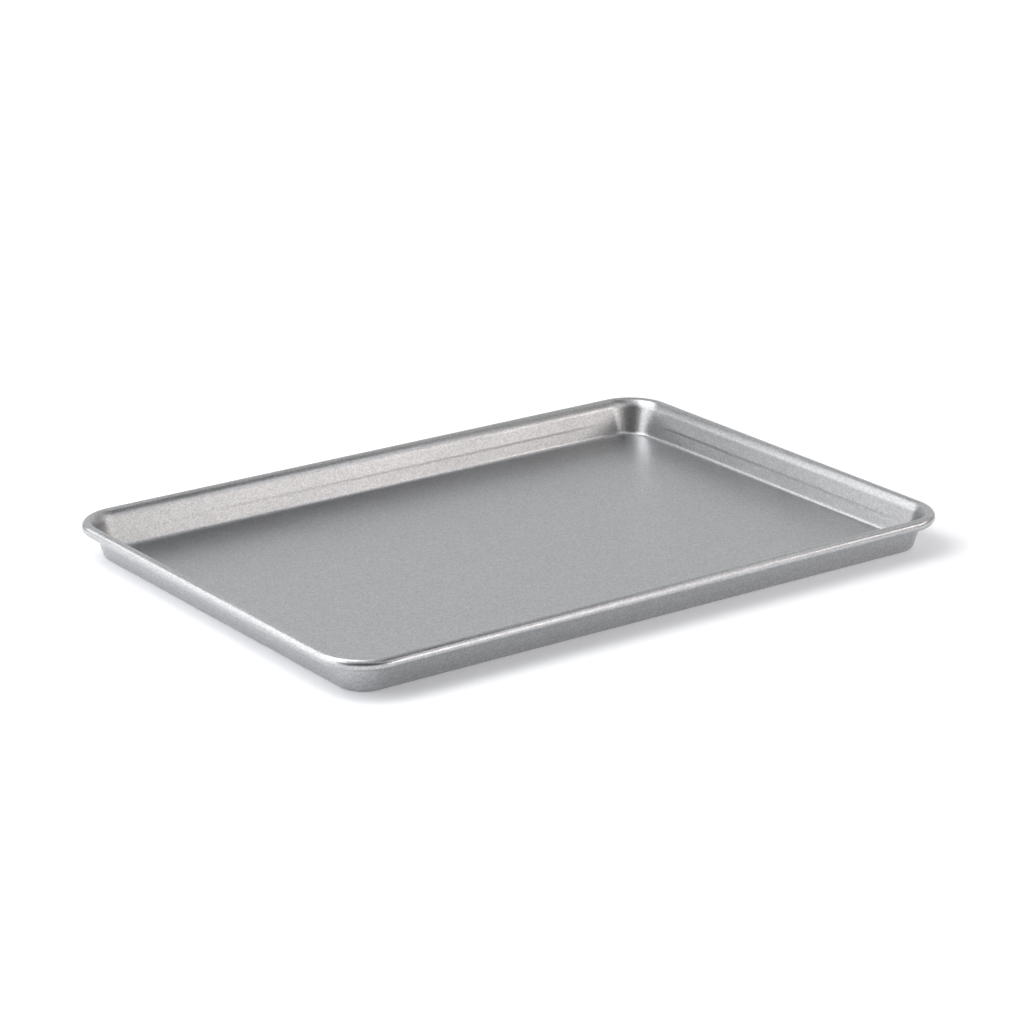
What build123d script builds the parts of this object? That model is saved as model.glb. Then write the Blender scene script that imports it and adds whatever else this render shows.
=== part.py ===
from build123d import *

import os
from math import acos, cos, degrees, radians, sin

# Jelly roll pan in millimetres. It stands on Z = 0 with the middle of its base at the origin, and its
# long sides run along X. One steel sheet makes the floor, the bend at the foot of the walls, the sloping
# walls, the flare above them and the bead, which is the edge of the sheet curled outward and under round a
# steel wire.

# Overall size over the outside of the bead, and from the table to the top of the bead.
pan_length = 450.0
pan_width = 320.0
pan_height = 24.0
rim_corner_radius = 30.0

# The sheet. Both radii are those of the inner face. The draft leans the wall out from upright, and the flare
# leans it further, up to where the bead begins.
sheet_thickness = 0.85
floor_bend_radius = 1.6
wall_draft_angle = 17.5
flare_angle = 40.0
flare_radius = 13.0

# The wire lies in the curl with a clearance all round. The curled edge stops short of the wall's outer
# face, and the wire's two ends face each other across a gap in the middle of the rear long side.
wire_diameter = 5.3
wire_clearance = 0.1
wire_end_gap = 1.5
curl_edge_gap = 1.6

# A shallow crease is pressed inward along the middle of each straight wall. Up from the bend the wall comes
# in a little as far as the crease, steps in further over a short stretch, and goes back out to the flare.
# A margin of plain wall stays beside the bend and the flare, and both ends of the crease fade out before
# the corners. The overrun carries its solids a little past the wall's faces.
crease_height = 9.6
crease_step = 1.3
crease_foot_depth = 0.15
crease_depth = 0.4
crease_margin = 1.0
crease_corner_gap = 4.0
crease_fade = 45.0
crease_overrun = 0.2

# The bead is the curled sheet round the wire. Its centre line is a rounded rectangle at one height.
wire_radius = wire_diameter / 2
curl_inner_radius = wire_radius + wire_clearance
bead_radius = curl_inner_radius + sheet_thickness
bead_corner_radius = rim_corner_radius - bead_radius
bead_x = pan_length / 2 - bead_radius
bead_y = pan_width / 2 - bead_radius
bead_z = pan_height - bead_radius

# All four corners turn about upright axes, the same for floor, wall and bead.
corner_x = pan_length / 2 - rim_corner_radius
corner_y = pan_width / 2 - rim_corner_radius

# Along the section's inner face, the wall is as long as the height leaves between bend and flare.
draft = radians(wall_draft_angle)
flare_lean = radians(flare_angle)
bend_rise = floor_bend_radius * (1 - sin(draft))
flare_rise = flare_radius * (sin(flare_lean) - sin(draft))
curl_drop = bead_radius * (1 - sin(flare_lean))
wall_run = (pan_height - sheet_thickness - bend_rise - flare_rise - curl_drop) / cos(draft)
flare_spread = flare_radius * (cos(draft) - cos(flare_lean))
curl_spread = bead_radius * (1 + cos(flare_lean))
wall_spread = floor_bend_radius * cos(draft) + wall_run * sin(draft) + flare_spread + curl_spread
floor_edge = rim_corner_radius - wall_spread

# The crease is drawn on the slope of the wall's inner face, up from the top of the bend.
wall_foot = (floor_edge + floor_bend_radius * cos(draft), sheet_thickness + bend_rise)
wall_place = Location(wall_foot, (0, 0, 90 - wall_draft_angle))
crease_foot = (crease_height - sheet_thickness - bend_rise) / cos(draft)
crease_top = crease_foot + crease_step

# The curl turns until its cut edge is one edge gap away from the flare's outer face. The edge, the bead's
# centre and the flare's centre make a triangle, whose angle at the bead gives the turn.
flare_offset = flare_radius - bead_radius
edge_reach = flare_radius - sheet_thickness - curl_edge_gap
edge_cosine = (edge_reach**2 - flare_offset**2 - bead_radius**2) / (2 * flare_offset * bead_radius)
curl_angle = 360 - degrees(acos(edge_cosine))


def sheet_face(floor_z, bend_radius, blend_radius, curl_radius):
    """Draws one face of the sheet from a corner's axis outward, and returns the two ends of the line."""
    floor_line = Line((0, floor_z), (floor_edge, floor_z))
    bend = JernArc(floor_line @ 1, floor_line % 1, bend_radius, 90 - wall_draft_angle)
    wall = PolarLine(bend @ 1, wall_run, direction=bend % 1)
    flare = JernArc(wall @ 1, wall % 1, blend_radius, wall_draft_angle - flare_angle)
    curl = JernArc(flare @ 1, flare % 1, curl_radius, -curl_angle)
    return floor_line @ 0, curl @ 1


# Section of the sheet, X outward from a corner's axis and Y up: its two faces, joined at the ends.
with BuildSketch() as sheet_section:
    with BuildLine():
        inner_start, inner_end = sheet_face(
            sheet_thickness, floor_bend_radius, flare_radius, bead_radius
        )
        outer_start, outer_end = sheet_face(
            0, floor_bend_radius + sheet_thickness, flare_radius - sheet_thickness, curl_inner_radius
        )
        Line(inner_start, outer_start)
        Line(inner_end, outer_end)
    make_face()

# One quarter of the pan: half a long side, half a short side and the corner between them, mirrored
# twice. The flat middle of the floor closes the ring.
long_side_plane = Plane.YZ.shift_origin((0, corner_y, 0))
short_side_plane = Plane.XZ.shift_origin((corner_x, 0, 0))
with BuildPart() as pan:
    with BuildSketch(long_side_plane):
        add(sheet_section.sketch)
    extrude(amount=corner_x)
    with BuildSketch(short_side_plane):
        add(sheet_section.sketch)
    extrude(amount=-corner_y)
    with BuildSketch(short_side_plane.offset(-corner_y)):
        add(sheet_section.sketch)
    revolve(axis=Axis((corner_x, corner_y, 0), (0, 0, 1)), revolution_arc=90)
    # The crease stands out of the wall's inner face and is sunk as deep into the outer one. It keeps its
    # depth from the middle of the side to where its fade begins, and comes to a point where that ends.
    for side_plane, way, side_reach in ((long_side_plane, 1, corner_x), (short_side_plane, -1, corner_y)):
        wall_plane = Plane(side_plane.location * wall_place)
        fade_end = way * (side_reach - crease_corner_gap)
        fade_start = fade_end - way * crease_fade
        for skin, crease_mode in ((0, Mode.ADD), (-sheet_thickness, Mode.SUBTRACT)):
            base = skin - crease_overrun
            with BuildSketch(wall_plane.offset(fade_start)) as crease:
                with BuildLine():
                    Polyline(
                        (crease_margin, base),
                        (crease_margin, skin),
                        (crease_foot, skin + crease_foot_depth),
                        (crease_top, skin + crease_depth),
                        (wall_run - crease_margin, skin),
                        (wall_run - crease_margin, base),
                        close=True,
                    )
                make_face()
            extrude(amount=-fade_start, mode=crease_mode)
            tip = Vertex(wall_plane.from_local_coords((crease_foot, base, fade_end)))
            loft([crease.sketch, tip], ruled=True, mode=crease_mode)
    mirror(about=Plane.XZ)
    mirror(about=Plane.YZ)
    with BuildSketch():
        Rectangle(2 * corner_x, 2 * corner_y)
    extrude(amount=sheet_thickness)
pan.part.label = "pan"

# The wire is one length, bent at the four corners, from one side of the end gap round to the other.
with BuildPart() as rim_wire:
    with BuildLine(Plane.XY.offset(bead_z)) as wire_line:
        FilletPolyline(
            (-wire_end_gap / 2, bead_y),
            (-bead_x, bead_y),
            (-bead_x, -bead_y),
            (bead_x, -bead_y),
            (bead_x, bead_y),
            (wire_end_gap / 2, bead_y),
            radius=bead_corner_radius,
        )
    with BuildSketch(Plane(origin=wire_line.line @ 0, z_dir=wire_line.line % 0)):
        Circle(wire_radius)
    sweep()
rim_wire.part.label = "rim_wire"

os.makedirs("parts", exist_ok=True)
export_step(pan.part, "parts/pan.step")
export_step(rim_wire.part, "parts/rim_wire.step")
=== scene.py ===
"""Looks of the jelly roll pan: its pressed shell, its wire, their finishes, and the studio round them.

Lengths are metres in the part's own frame: X along the long sides, Z up, the table at Z = 0.
"""

from __future__ import annotations

import logging
import math
from dataclasses import dataclass
from enum import Enum

import bpy
from mathutils import Matrix, Vector


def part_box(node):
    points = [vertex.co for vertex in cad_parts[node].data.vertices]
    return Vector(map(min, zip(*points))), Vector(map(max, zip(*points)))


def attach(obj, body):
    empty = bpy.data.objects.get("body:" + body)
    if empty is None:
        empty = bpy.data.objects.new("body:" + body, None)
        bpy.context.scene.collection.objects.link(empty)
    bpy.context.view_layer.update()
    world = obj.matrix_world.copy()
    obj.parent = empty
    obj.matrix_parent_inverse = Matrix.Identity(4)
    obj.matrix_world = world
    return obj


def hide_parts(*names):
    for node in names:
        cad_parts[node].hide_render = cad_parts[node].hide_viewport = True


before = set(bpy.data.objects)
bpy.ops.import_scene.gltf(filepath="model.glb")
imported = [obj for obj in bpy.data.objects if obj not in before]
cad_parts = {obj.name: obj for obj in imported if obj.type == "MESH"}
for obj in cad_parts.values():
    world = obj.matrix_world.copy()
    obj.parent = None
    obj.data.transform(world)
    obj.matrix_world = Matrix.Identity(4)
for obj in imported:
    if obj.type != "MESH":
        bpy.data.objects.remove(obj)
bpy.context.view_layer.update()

MM = 0.001
log = logging.getLogger("jelly_roll_pan")


def linear(hex_colour: str) -> tuple[float, float, float, float]:
    """Turns an sRGB hex colour into linear light.

    Args:
        hex_colour: Six hex digits after a hash, such as "#A9ABAD".

    Returns:
        Red, green, blue and an alpha of one.
    """
    shares = [int(hex_colour[i : i + 2], 16) / 255 for i in (1, 3, 5)]
    bent = [s / 12.92 if s <= 0.04045 else ((s + 0.055) / 1.055) ** 2.4 for s in shares]
    return (*bent, 1.0)


def add_node(
    tree: bpy.types.NodeTree, kind: str, settings: dict[str, object] | None = None, **inputs: object
) -> bpy.types.Node:
    """Adds one node with its settings, values and links.

    Args:
        tree: The node tree that takes the node.
        kind: The node's type name, such as "ShaderNodeTexNoise".
        settings: Properties of the node itself, by name.
        **inputs: Values or output sockets by input name, with underscores for spaces, or by number as in_0.

    Returns:
        The new node.
    """
    node = tree.nodes.new(kind)
    for name, value in (settings or {}).items():
        setattr(node, name, value)
    for name, value in inputs.items():
        socket = node.inputs[int(name[3:]) if name.startswith("in_") else name.replace("_", " ")]
        if isinstance(value, bpy.types.NodeSocket):
            tree.links.new(value, socket)
        else:
            socket.default_value = value
    return node


def new_material(name: str) -> bpy.types.Material:
    """Starts a material.

    Args:
        name: Its name.

    Returns:
        The material, with an empty node tree.
    """
    material = bpy.data.materials.new(name)
    material.use_nodes = True
    material.node_tree.nodes.clear()
    return material


@dataclass(frozen=True)
class ProfilePoint:
    """A point of the sheet's section.

    Attributes:
        reach: Distance outward from the corner's upright axis.
        height: Height above the table.
        facing: Angle of the surface normal there, from outward towards up, in radians.
    """

    reach: float
    height: float
    facing: float

    def moved(self, distance: float) -> ProfilePoint:
        """Returns the point across the sheet, on the face that looks the other way."""
        reach = self.reach - distance * math.cos(self.facing)
        return ProfilePoint(reach, self.height - distance * math.sin(self.facing), self.facing + math.pi)

    def towards(self, other: ProfilePoint, share: float) -> ProfilePoint:
        """Returns the point that lies a share of the way to another one."""
        pairs = ((self.reach, other.reach), (self.height, other.height), (self.facing, other.facing))
        return ProfilePoint(*(near + (far - near) * share for near, far in pairs))


@dataclass(frozen=True)
class SheetProfile:
    """Section of the pressed sheet: floor edge, bend, wall with its crease, and the curl round the wire.

    Attributes:
        height: Height of the pan from the table to the top of the bead.
        corner_radius: Radius of the pan's corners over the outside of the bead.
        sheet: Thickness of the sheet.
        rise_radius: Radius of the gentle rise at the floor's edge.
        rise_turn: Angle through which the floor rises there, in degrees.
        floor_bend: Inner radius of the tight bend at the foot of the wall.
        foot_lean: Lean of the wall from upright just above that bend, in degrees.
        foot_radius: Radius over which the wall comes to its own lean.
        lower_lean: Lean of the wall from upright below the crease, in degrees.
        upper_lean: Lean of the wall above the crease.
        flare_lean: Lean where the wall runs into the bead.
        flare_radius: Radius of the curve between wall and bead.
        crease_foot: Height of the crease's lower edge.
        crease_rise: Height that the crease takes up.
        crease_round: Half the length over which each edge of the crease turns.
        bead_radius: Outer radius of the bead.
        edge_gap: Gap between the curled edge and the wall's outer face.
        bend_steps: Edges round each arc of the foot.
        flare_steps: Edges along the flare.
        curl_steps: Edges round the curl.
    """

    height: float
    corner_radius: float
    sheet: float = 0.85 * MM
    rise_radius: float = 20 * MM
    rise_turn: float = 7
    floor_bend: float = 1.3 * MM
    foot_lean: float = 33
    foot_radius: float = 6 * MM
    lower_lean: float = 16.5
    upper_lean: float = 18.5
    flare_lean: float = 40
    flare_radius: float = 13 * MM
    crease_foot: float = 9.6 * MM
    crease_rise: float = 1.3 * MM
    crease_round: float = 0.55 * MM
    bead_radius: float = 3.6 * MM
    edge_gap: float = 1.6 * MM
    bend_steps: int = 6
    flare_steps: int = 6
    curl_steps: int = 60

    @property
    def bead(self) -> ProfilePoint:
        """Centre of the bead."""
        return ProfilePoint(self.corner_radius - self.bead_radius, self.height - self.bead_radius, 0.0)

    def arc(
        self, centre: ProfilePoint, radius: float, start: float, stop: float, steps: int
    ) -> list[ProfilePoint]:
        """Lists the points of an arc.

        Args:
            centre: Centre of the arc.
            radius: Radius, below zero where the surface faces the centre.
            start: Facing at the first point, in radians.
            stop: Facing at the last point.
            steps: Edges along the arc.

        Returns:
            The points, with the way that the surface faces at each.
        """
        facings = [start + (stop - start) * i / steps for i in range(steps + 1)]
        return [
            ProfilePoint(
                centre.reach + radius * math.cos(facing), centre.height + radius * math.sin(facing), facing
            )
            for facing in facings
        ]

    def flare(self, lean: float) -> list[ProfilePoint]:
        """Lists the points of the curve that carries the wall into the bead.

        Args:
            lean: Lean of that wall from upright, in degrees.

        Returns:
            The points, up from the wall.
        """
        end = math.pi - math.radians(self.flare_lean)
        spare = self.flare_radius - self.bead_radius
        reach, height = self.bead.reach - spare * math.cos(end), self.bead.height - spare * math.sin(end)
        centre = ProfilePoint(reach, height, 0.0)
        return self.arc(centre, self.flare_radius, math.pi - math.radians(lean), end, self.flare_steps)

    def foot(self) -> list[ProfilePoint]:
        """Lists the points of the bend between floor and wall.

        Returns:
            The points, as far out as the plain wall puts them.
        """
        lean = math.radians(self.lower_lean)
        turns = (
            (self.rise_radius, math.radians(90 + self.rise_turn)),
            (self.floor_bend, math.pi - math.radians(self.foot_lean)),
            (self.foot_radius, math.pi - lean),
        )
        points = [ProfilePoint(0.0, self.sheet, math.pi / 2)]
        for radius, facing in turns:
            at = points[-1]
            reach, height = at.reach + radius * math.cos(at.facing), at.height + radius * math.sin(at.facing)
            centre = ProfilePoint(reach, height, 0.0)
            points += self.arc(centre, -radius, at.facing, facing, self.bend_steps)[1:]
        top, low = self.flare(self.lower_lean)[0], points[-1]
        shift = top.reach - (top.height - low.height) * math.tan(lean) - low.reach
        return [ProfilePoint(point.reach + shift, point.height, point.facing) for point in points]

    def wall(self, creased: bool) -> list[ProfilePoint]:
        """Lists the points of the wall's inner face, from the floor's edge to the bead.

        Args:
            creased: Whether the wall has its crease there, as it has along the straight sides.

        Returns:
            The points, as many with the crease as without.
        """
        foot = self.foot()
        flare = self.flare(self.upper_lean if creased else self.lower_lean)
        heights = (self.crease_foot, self.crease_foot + self.crease_rise)
        low = foot[-1]
        lower = math.tan(math.radians(self.lower_lean))
        upper = math.tan(math.radians(self.upper_lean if creased else self.lower_lean))
        edges = (
            (low.reach + (heights[0] - low.height) * lower, heights[0]),
            (flare[0].reach - (flare[0].height - heights[1]) * upper, heights[1]),
        )
        step = math.atan2(edges[1][0] - edges[0][0], self.crease_rise)
        turns = ((math.atan(lower), step), (step, math.atan(upper)))
        middle = []
        for (reach, height), (before, after) in zip(edges, turns):
            for side, lean in ((-1, before), (1, after)):
                run = side * self.crease_round
                middle.append(
                    ProfilePoint(reach + run * math.sin(lean), height + run * math.cos(lean), math.pi - lean)
                )
        return foot + middle + flare

    def runs(self, creased: bool) -> list[list[ProfilePoint]]:
        """Draws the outline from the floor's upper face, over the bead, to the floor's underside.

        Args:
            creased: Whether the wall has its crease there.

        Returns:
            Three smooth runs, each starting where the one before it ends: the inner face with the bead,
            the cut edge of the curl, and the faces that look at the wire and the table.
        """
        wall = self.wall(creased)
        wire_room = self.bead_radius - self.sheet
        spare = self.flare_radius - self.bead_radius
        edge_reach = self.flare_radius - self.sheet - self.edge_gap
        closing = (edge_reach**2 - spare**2 - self.bead_radius**2) / (2 * spare * self.bead_radius)
        cut = wall[-1].facing + math.acos(closing) - 2 * math.pi
        over = self.arc(self.bead, self.bead_radius, wall[-1].facing, cut, self.curl_steps)
        back = self.arc(self.bead, -wire_room, cut + math.pi, wall[-1].facing + math.pi, self.curl_steps // 2)
        edge = [
            ProfilePoint(point.reach, point.height, cut - math.pi / 2) for point in (over[-1], back[0])
        ]
        under = [point.moved(self.sheet) for point in reversed(wall)]
        return [wall + over[1:], edge, back + under[1:]]


@dataclass(frozen=True)
class Station:
    """A place round the pan where the sheet's section stands.

    Attributes:
        axis: Foot of the upright axis that the section's reach is measured from.
        out: Outward direction.
        crease: How far the crease has come up there, from 0 to 1.
    """

    axis: Vector
    out: Vector
    crease: float


@dataclass
class PressedPan:
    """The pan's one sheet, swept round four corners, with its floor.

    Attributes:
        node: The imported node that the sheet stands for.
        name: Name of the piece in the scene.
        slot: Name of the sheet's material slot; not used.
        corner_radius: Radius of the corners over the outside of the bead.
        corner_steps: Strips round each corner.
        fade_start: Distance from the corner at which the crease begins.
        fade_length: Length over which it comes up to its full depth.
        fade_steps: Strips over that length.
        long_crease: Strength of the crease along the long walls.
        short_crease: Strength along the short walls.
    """

    node: str = "pan"
    name: str = "pan_shell"
    slot: str = "coated_steel"
    corner_radius: float = 30 * MM
    corner_steps: int = 30
    fade_start: float = 4 * MM
    fade_length: float = 34 * MM
    fade_steps: int = 8
    long_crease: float = 0.27
    short_crease: float = 0.65

    def side(self, length: float, strength: float) -> list[tuple[float, float]]:
        """Spaces the stations along one straight side.

        Args:
            length: Length of the straight stretch.
            strength: How strong the crease is in its middle.

        Returns:
            Distance from the side's start, and the crease there, for each station.
        """
        shares = [i / self.fade_steps for i in range(self.fade_steps + 1)]
        rising = [(self.fade_start + self.fade_length * s, strength * s * s * (3 - 2 * s)) for s in shares]
        return rising + [(length - run, crease) for run, crease in reversed(rising)]

    def stations(self, half_length: float, half_width: float) -> list[Station]:
        """Places the section round the pan.

        Args:
            half_length: Half the pan's length.
            half_width: Half its width.

        Returns:
            The stations, anticlockwise from above: each corner, then the straight side that follows it.
        """
        across, along = half_length - self.corner_radius, half_width - self.corner_radius
        signs = ((1, 1), (-1, 1), (-1, -1), (1, -1))
        placed = []
        for corner, (sx, sy) in enumerate(signs):
            axis = Vector((sx * across, sy * along, 0))
            for i in range(self.corner_steps + 1):
                angle = math.pi / 2 * (corner + i / self.corner_steps)
                placed.append(Station(axis, Vector((math.cos(angle), math.sin(angle), 0)), 0.0))
            out = placed[-1].out
            way = Vector((-out.y, out.x, 0))
            short = corner % 2
            strength = self.short_crease if short else self.long_crease
            for run, crease in self.side(2 * (along if short else across), strength):
                placed.append(Station(axis + way * run, out, crease))
        return placed

    def floor(self, per_quarter: int) -> list[tuple[int, ...]]:
        """Closes the floor with faces that reach from side to side.

        Args:
            per_quarter: Stations in one corner and its side.

        Returns:
            The stations round each face, anticlockwise from above.
        """
        far = per_quarter + self.corner_steps
        twin = 3 * per_quarter + self.corner_steps
        faces = [(u, u + 1, twin - u - 1, twin - u) for u in range(1, far - 1)]
        faces.append((twin - 1, *range(twin, 4 * per_quarter), 0, 1))
        faces.append((far - 1, *range(far, 2 * per_quarter + 1), 2 * per_quarter + 1))
        return faces

    def build(self, finish: BakedCoating) -> bpy.types.Object:
        """Makes the sheet's mesh with the exact normals of its flats and bends.

        Args:
            finish: The coating that it is dressed in.

        Returns:
            The new object, riding on the pan's body.
        """
        low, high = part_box(self.node)
        profile = SheetProfile(height=high.z - low.z, corner_radius=self.corner_radius)
        stations = self.stations((high.x - low.x) / 2, (high.y - low.y) / 2)
        plain, creased = profile.runs(False), profile.runs(True)
        count, per = len(stations), sum(len(run) - 1 for run in plain) + 1
        vertices: list[Vector] = []
        facings: list[list[list[float]]] = []
        for station in stations:
            runs = [
                [point.towards(other, station.crease) for point, other in zip(*pair)]
                for pair in zip(plain, creased)
            ]
            outline = runs[0] + [point for run in runs[1:] for point in run[1:]]
            vertices += [
                station.axis + station.out * point.reach + Vector((0, 0, point.height)) for point in outline
            ]
            facings.append([[point.facing for point in run] for run in runs])
        faces: list[tuple[int, ...]] = []
        normals: list[Vector] = []
        for here in range(count):
            there = (here + 1) % count
            start = 0
            for number, run in enumerate(plain):
                for i in range(len(run) - 1):
                    corners = ((there, i), (here, i), (here, i + 1), (there, i + 1))
                    faces.append(tuple(station * per + start + point for station, point in corners))
                    for station, point in corners:
                        facing = facings[station][number][point]
                        up = Vector((0, 0, math.sin(facing)))
                        normals.append(stations[station].out * math.cos(facing) + up)
                start += len(run) - 1
        for ring in self.floor(count // 4):
            faces.append(tuple(station * per for station in ring))
            faces.append(tuple(station * per + per - 1 for station in reversed(ring)))
            normals += [Vector((0, 0, 1))] * len(ring) + [Vector((0, 0, -1))] * len(ring)
        mesh = bpy.data.meshes.new(self.name)
        mesh.from_pydata(vertices, [], faces)
        mesh.shade_smooth()
        mesh.normals_split_custom_set(normals)
        mesh.materials.append(finish.material())
        shell = bpy.data.objects.new(self.name, mesh)
        bpy.context.scene.collection.objects.link(shell)
        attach(shell, "root")
        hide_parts(self.node)
        return shell


@dataclass
class RimWire:
    """The steel wire that the curl is rolled round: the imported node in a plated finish.

    Attributes:
        node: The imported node.
    """

    node: str = "rim_wire"

    def dress(self, finish: PlatedWire) -> bpy.types.Object:
        """Gives the wire its finish.

        Args:
            finish: The plating.

        Returns:
            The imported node's object.
        """
        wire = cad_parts[self.node]
        wire.data.materials.clear()
        wire.data.materials.append(finish.material())
        return wire


@dataclass(frozen=True)
class BakedCoating:
    """Silver-grey non-stick coating with aluminium flake, sprayed on rolled steel and baked.

    Attributes:
        colour: What the flake reflects.
        dark_colour: What the binder between the flakes reflects.
        metallic: Share of the flake over the binder.
        roughness: Middle roughness of the satin surface.
        roughness_swing: How far it goes up and down from grain to grain.
        flake: Size of a flake's patch, in metres.
        grain: Size of the fine orange peel, in metres.
        grain_depth: Depth of that grain.
        cloud: Size of the broad patches left by the spray pattern.
        cloud_low: Value of the patches' noise that counts as their smoothest.
        cloud_high: Value that counts as their roughest.
        cloud_swing: How far the roughness goes up and down from patch to patch.
    """

    colour: str = "#C6C7C8"
    dark_colour: str = "#A8A9AB"
    metallic: float = 1.0
    roughness: float = 0.345
    roughness_swing: float = 0.05
    flake: float = 0.7 * MM
    grain: float = 0.9 * MM
    grain_depth: float = 0.0075 * MM
    cloud: float = 45 * MM
    cloud_low: float = 0.35
    cloud_high: float = 0.65
    cloud_swing: float = 0.015

    def material(self) -> bpy.types.Material:
        """Makes the coating.

        Returns:
            A satin metal whose flakes catch the light one by one, so that a lit wall looks finely
            speckled while the floor stays smoother.
        """
        # Sprayed and baked flake coating: a satin grey sheen with no clear reflection, and a dry sparkle
        # on the walls.
        made = new_material("baked_flake_coating_on_steel")
        tree = made.node_tree
        place = add_node(tree, "ShaderNodeTexCoord").outputs["Object"]
        # Real flakes are about 0.05 mm across: they are drawn over ten times as coarse so that they show.
        flakes = add_node(tree, "ShaderNodeTexVoronoi", {}, Vector=place, Scale=1 / self.flake)
        tone = add_node(tree, "ShaderNodeSeparateColor", {}, Color=flakes.outputs["Color"])
        grain = add_node(tree, "ShaderNodeTexNoise", {}, Vector=place, Scale=1 / self.grain, Detail=2.0)
        cloud = add_node(tree, "ShaderNodeTexNoise", {}, Vector=place, Scale=1 / self.cloud, Detail=3.0)
        colour = add_node(
            tree,
            "ShaderNodeMix",
            {"data_type": "RGBA"},
            in_0=tone.outputs["Red"],
            in_6=linear(self.dark_colour),
            in_7=linear(self.colour),
        )
        fine = add_node(
            tree,
            "ShaderNodeMapRange",
            {},
            Value=tone.outputs["Green"],
            To_Min=self.roughness - self.roughness_swing,
            To_Max=self.roughness + self.roughness_swing,
        )
        broad = add_node(
            tree,
            "ShaderNodeMapRange",
            {},
            Value=cloud.outputs["Fac"],
            From_Min=self.cloud_low,
            From_Max=self.cloud_high,
            To_Min=-self.cloud_swing,
            To_Max=self.cloud_swing,
        )
        rough = add_node(
            tree, "ShaderNodeMath", {"operation": "ADD"}, in_0=fine.outputs[0], in_1=broad.outputs[0]
        )
        bump = add_node(
            tree,
            "ShaderNodeBump",
            {},
            Height=grain.outputs["Fac"],
            Distance=self.grain_depth,
            Strength=1.0,
        )
        shader = add_node(
            tree,
            "ShaderNodeBsdfPrincipled",
            {},
            Base_Color=colour.outputs[2],
            Metallic=self.metallic,
            Roughness=rough.outputs[0],
            Normal=bump.outputs[0],
        )
        add_node(tree, "ShaderNodeOutputMaterial", {}, Surface=shader.outputs[0])
        return made


@dataclass(frozen=True)
class PlatedWire:
    """Drawn steel wire with a thin zinc plating.

    Attributes:
        colour: What bright zinc reflects.
        dull_colour: What its clouded patches reflect.
        roughness: Roughness of the drawn surface.
        metallic: Share of metal in the surface.
        draw_line: Spacing of the die's drawing lines.
        line_depth: Depth of those lines.
        patch: Size of the clouded patches.
    """

    colour: str = "#C9CCD0"
    dull_colour: str = "#A9ADB2"
    roughness: float = 0.3
    metallic: float = 1.0
    draw_line: float = 0.25 * MM
    line_depth: float = 0.01 * MM
    patch: float = 6 * MM

    def material(self) -> bpy.types.Material:
        """Makes the plating.

        Returns:
            A cool bright metal with faint lines and clouds.
        """
        # Zinc-plated drawn wire: cooler and brighter than the coating, with fine lines from the drawing die.
        made = new_material("zinc_plated_drawn_wire")
        tree = made.node_tree
        place = add_node(tree, "ShaderNodeTexCoord").outputs["Object"]
        patches = add_node(tree, "ShaderNodeTexNoise", {}, Vector=place, Scale=1 / self.patch, Detail=3.0)
        lines = add_node(tree, "ShaderNodeTexNoise", {}, Vector=place, Scale=1 / self.draw_line, Detail=1.0)
        colour = add_node(
            tree,
            "ShaderNodeMix",
            {"data_type": "RGBA"},
            in_0=patches.outputs["Fac"],
            in_6=linear(self.dull_colour),
            in_7=linear(self.colour),
        )
        bump = add_node(
            tree, "ShaderNodeBump", {}, Height=lines.outputs["Fac"], Distance=self.line_depth, Strength=1.0
        )
        shader = add_node(
            tree,
            "ShaderNodeBsdfPrincipled",
            {},
            Base_Color=colour.outputs[2],
            Metallic=self.metallic,
            Roughness=self.roughness,
            Normal=bump.outputs[0],
        )
        add_node(tree, "ShaderNodeOutputMaterial", {}, Surface=shader.outputs[0])
        return made


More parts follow.
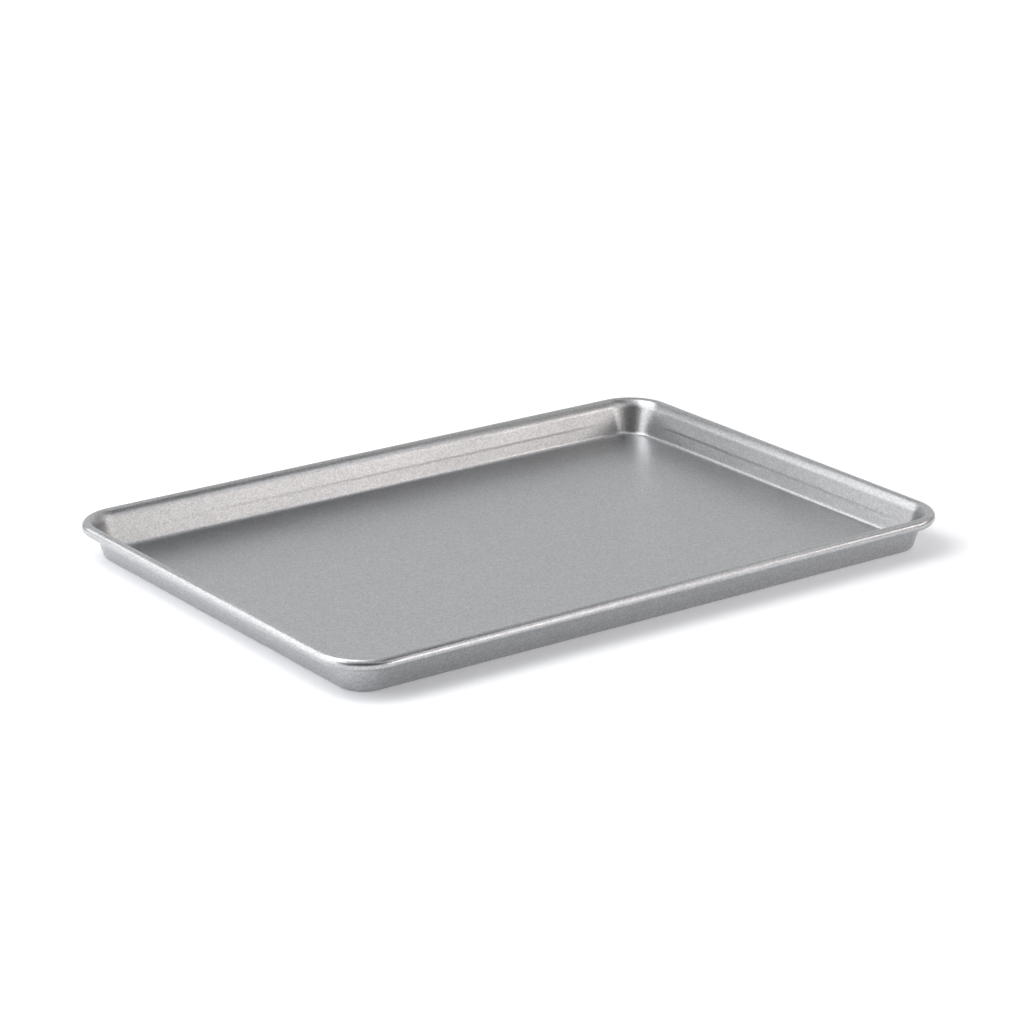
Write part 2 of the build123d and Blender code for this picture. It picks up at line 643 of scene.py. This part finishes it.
@dataclass
class PaperTable:
    """The white sheet that the pan stands on.

    Attributes:
        half_size: Half the side of the sheet.
        colour: Colour of the paper in plain light.
        glow: What is added for camera and metal, so that lit paper reads as pure white.
        far_glow: The same beyond the lamps' reach, where the paper would fall off to grey. It is above
            the 1 that is plain white.
        far_start: Distance from the pan's middle at which the glow begins to rise.
        far_end: Distance at which it has risen.
        glow_colour: Its colour, a little cool.
        roughness: Roughness of the uncoated paper.
        fibre: Size of the paper's tooth.
        fibre_depth: Depth of the tooth.
        fibre_strength: Share of that depth that is used.
    """

    half_size: float = 30.0
    colour: str = "#F2F3F5"
    glow: float = 0.2
    far_glow: float = 1.2
    far_start: float = 0.45
    far_end: float = 0.95
    glow_colour: str = "#FAFCFF"
    roughness: float = 0.95
    fibre: float = 1.5 * MM
    fibre_depth: float = 0.01 * MM
    fibre_strength: float = 0.3

    def material(self) -> bpy.types.Material:
        """Makes the paper.

        Returns:
            A matt white that the camera and the metal see glowing, and that is clear from below.
        """
        # Uncoated white background paper: fully matt, so that it holds only the pan's soft shadow.
        made = new_material("matt_background_paper")
        tree = made.node_tree
        place = add_node(tree, "ShaderNodeTexCoord").outputs["Object"]
        tooth = add_node(tree, "ShaderNodeTexNoise", {}, Vector=place, Scale=1 / self.fibre, Detail=2.0)
        bump = add_node(
            tree,
            "ShaderNodeBump",
            {},
            Height=tooth.outputs["Fac"],
            Distance=self.fibre_depth,
            Strength=self.fibre_strength,
        )
        paper = add_node(
            tree,
            "ShaderNodeBsdfPrincipled",
            {},
            Base_Color=linear(self.colour),
            Roughness=self.roughness,
            Specular_IOR_Level=0.0,
            Normal=bump.outputs[0],
        )
        ray = add_node(tree, "ShaderNodeLightPath")
        seen = ray.outputs["Is Camera Ray"]
        for other in ("Is Glossy Ray", "Is Transmission Ray"):
            seen = add_node(
                tree, "ShaderNodeMath", {"operation": "MAXIMUM"}, in_0=seen, in_1=ray.outputs[other]
            ).outputs[0]
        away = add_node(tree, "ShaderNodeVectorMath", {"operation": "LENGTH"}, in_0=place)
        rising = add_node(
            tree,
            "ShaderNodeMapRange",
            {"interpolation_type": "SMOOTHSTEP"},
            Value=away.outputs["Value"],
            From_Min=self.far_start,
            From_Max=self.far_end,
            To_Min=self.glow,
            To_Max=self.far_glow,
        )
        strength = add_node(
            tree, "ShaderNodeMath", {"operation": "MULTIPLY"}, in_0=seen, in_1=rising.outputs["Result"]
        )
        glow = add_node(
            tree, "ShaderNodeEmission", {}, Color=linear(self.glow_colour), Strength=strength.outputs[0]
        )
        both = add_node(tree, "ShaderNodeAddShader", {}, in_0=paper.outputs[0], in_1=glow.outputs[0])
        clear = add_node(tree, "ShaderNodeBsdfTransparent")
        side = add_node(tree, "ShaderNodeNewGeometry")
        mix = add_node(
            tree,
            "ShaderNodeMixShader",
            {},
            Fac=side.outputs["Backfacing"],
            in_1=both.outputs[0],
            in_2=clear.outputs[0],
        )
        add_node(tree, "ShaderNodeOutputMaterial", {}, Surface=mix.outputs[0])
        return made

    def build(self) -> bpy.types.Object:
        """Lays the paper flat under the pan.

        Returns:
            The floor's object.
        """
        half = self.half_size
        mesh = bpy.data.meshes.new("paper_table")
        corners = [(-half, -half, 0), (half, -half, 0), (half, half, 0), (-half, half, 0)]
        mesh.from_pydata(corners, [], [(0, 1, 2, 3)])
        mesh.materials.append(self.material())
        table = bpy.data.objects.new("paper_table", mesh)
        bpy.context.scene.collection.objects.link(table)
        return table


class Side(Enum):
    """The ways a panel can look: its bearing from the camera's line of sight, and its tilt over the table."""

    LEFT = (-90.0, 0.0)
    RIGHT = (90.0, 0.0)
    BACK = (0.0, 0.0)
    FRONT = (180.0, 0.0)
    ROOF = (0.0, 90.0)


@dataclass(frozen=True)
class SoftPanel:
    """A sheet of diffusing cloth lit from behind.

    Attributes:
        name: What it does in the studio.
        side: The side of the table that it hangs on, which sets the way it looks.
        right: Place of its middle to the right of the pan's middle, as the camera sees it.
        forward: Its place beyond the pan's middle.
        up: Its height above the table.
        width: Its width.
        tall: Its height, or its depth on the roof.
        radiance: How bright it looks, where 1 is paper white.
        tint: Colour of its light.
    """

    name: str
    side: Side
    right: float
    forward: float
    up: float
    width: float
    tall: float
    radiance: float
    tint: str = "#FFFFFF"

    def build(self, yaw: float) -> bpy.types.Object:
        """Hangs the panel by the table.

        Args:
            yaw: The camera's heading from +Y towards +X, in degrees.

        Returns:
            The lamp's object.
        """
        bearing, tilt = self.side.value
        lamp = bpy.data.lights.new(self.name, "AREA")
        lamp.shape = "RECTANGLE"
        lamp.size, lamp.size_y = self.width, self.tall
        lamp.energy = self.radiance * math.pi * self.width * self.tall
        lamp.color = linear(self.tint)[:3]
        panel = bpy.data.objects.new(self.name, lamp)
        camera_turn = Matrix.Rotation(-math.radians(yaw), 4, "Z")
        panel.matrix_world = (
            camera_turn
            @ Matrix.Translation((self.right, self.forward, self.up))
            @ Matrix.Rotation(-math.radians(bearing), 4, "Z")
            @ Matrix.Rotation(-math.radians(90 - tilt), 4, "X")
        )
        panel.visible_camera = False
        bpy.context.scene.collection.objects.link(panel)
        return panel


@dataclass(frozen=True)
class Studio:
    """The tent round the table: soft panels on four sides and the roof, in a dim room.

    Attributes:
        room: Strength of the room's own light beyond the panels.
        panels: The soft panels.
    """

    room: float = 0.03
    panels: tuple[SoftPanel, ...] = (
        SoftPanel("left_low", Side.LEFT, -0.8, -0.45, 0.08, 1.2, 0.16, 2.0, "#FFFBFA"),
        SoftPanel("left_key", Side.LEFT, -0.8, -0.15, 0.5, 1.2, 0.68, 2.1, "#FEFEFF"),
        SoftPanel("left_high", Side.LEFT, -0.8, -0.3, 1.0, 1.5, 0.32, 4.0, "#FEFEFF"),
        SoftPanel("right_low", Side.RIGHT, 0.8, -0.6, 0.08, 0.3, 0.16, 7.0, "#FFF8F5"),
        SoftPanel("right_key", Side.RIGHT, 0.8, -0.15, 0.25, 0.6, 0.18, 3.5, "#FFF8F5"),
        SoftPanel("right_strip", Side.RIGHT, 0.5, -0.25, 0.41, 0.6, 0.16, 2.1, "#FCFCFF"),
        SoftPanel("right_fill", Side.RIGHT, 0.8, 0.45, 0.64, 0.6, 0.96, 0.65, "#FFFAF6"),
        SoftPanel("front_right", Side.FRONT, 0.55, -0.8, 0.8, 0.5, 0.3, 2.0, "#FFFBF8"),
        SoftPanel("back_wall", Side.BACK, 0.0, 1.2, 0.55, 2.4, 1.1, 0.77, "#FDFEFF"),
        SoftPanel("roof_wide", Side.ROOF, -0.2, 0.0, 1.1, 1.2, 2.4, 0.5, "#FCFDFF"),
        SoftPanel("roof_right", Side.ROOF, 0.7, 0.7, 1.1, 0.6, 1.0, 0.6, "#FCFDFF"),
        SoftPanel("roof_left", Side.ROOF, -0.4, -0.2, 1.1, 0.8, 0.8, 2.0, "#FFFCF8"),
        SoftPanel("top_key", Side.ROOF, -0.42, 0.0, 0.9, 0.65, 0.65, 2.4),
    )

    def build(self, yaw: float) -> None:
        """Lights the table.

        Args:
            yaw: The camera's heading from +Y towards +X, in degrees.
        """
        for panel in self.panels:
            panel.build(yaw)
        world = bpy.data.worlds.new("studio_room")
        world.use_nodes = True
        tree = world.node_tree
        tree.nodes.clear()
        ray = add_node(tree, "ShaderNodeLightPath")
        strength = add_node(
            tree,
            "ShaderNodeMix",
            {"data_type": "FLOAT"},
            in_0=ray.outputs["Is Camera Ray"],
            in_2=self.room,
            in_3=1.0,
        )
        back = add_node(tree, "ShaderNodeBackground", {}, Strength=strength.outputs[0])
        add_node(tree, "ShaderNodeOutputWorld", {}, Surface=back.outputs[0])
        bpy.context.scene.world = world


@dataclass(frozen=True)
class PhotoCamera:
    """The camera of the photograph, found from the outlines of rim, floor and foot.

    Attributes:
        lens: Focal length in millimetres.
        sensor: Width of the sensor in millimetres.
        aim_x: Where the line of sight meets the table.
        aim_y: The same point's other coordinate.
        distance: Distance from there to the camera.
        yaw: Heading from +Y towards +X, in degrees.
        pitch: How far the camera looks down, in degrees.
        roll: How far it is turned about its line of sight, in degrees.
    """

    lens: float = 122.737
    sensor: float = 36.0
    aim_x: float = 0.04437
    aim_y: float = 0.05942
    distance: float = 2.23898
    yaw: float = 35.847
    pitch: float = 18.9287
    roll: float = 0.0416

    def build(self) -> bpy.types.Object:
        """Sets the camera up.

        Returns:
            The camera, made the scene's own.
        """
        data = bpy.data.cameras.new("photo_camera")
        data.lens, data.sensor_width = self.lens, self.sensor
        camera = bpy.data.objects.new("photo_camera", data)
        turn = (
            Matrix.Rotation(-math.radians(self.yaw), 4, "Z")
            @ Matrix.Rotation(math.radians(90 - self.pitch), 4, "X")
            @ Matrix.Rotation(-math.radians(self.roll), 4, "Z")
        )
        back = turn.to_3x3() @ Vector((0, 0, 1))
        place = Vector((self.aim_x, self.aim_y, 0)) + back * self.distance
        camera.matrix_world = Matrix.Translation(place) @ turn
        bpy.context.scene.collection.objects.link(camera)
        bpy.context.scene.camera = camera
        return camera


def main() -> None:
    """Builds the pan, its wire and the studio in order, and reports each."""
    logging.basicConfig(level=logging.INFO, format="%(name)s: %(message)s")
    bpy.context.scene.view_settings.view_transform = "Standard"
    shell = PressedPan().build(BakedCoating())
    log.info("%s: %d faces", shell.name, len(shell.data.polygons))
    wire = RimWire().dress(PlatedWire())
    log.info("%s: %d faces", wire.name, len(wire.data.polygons))
    table = PaperTable().build()
    log.info("%s: laid under the pan", table.name)
    photo_camera = PhotoCamera()
    camera = photo_camera.build()
    log.info("%s: %.2f mm lens", camera.name, camera.data.lens)
    studio = Studio()
    studio.build(photo_camera.yaw)
    log.info("studio: %d panels", len(studio.panels))


if __name__ == "__main__":
    main()
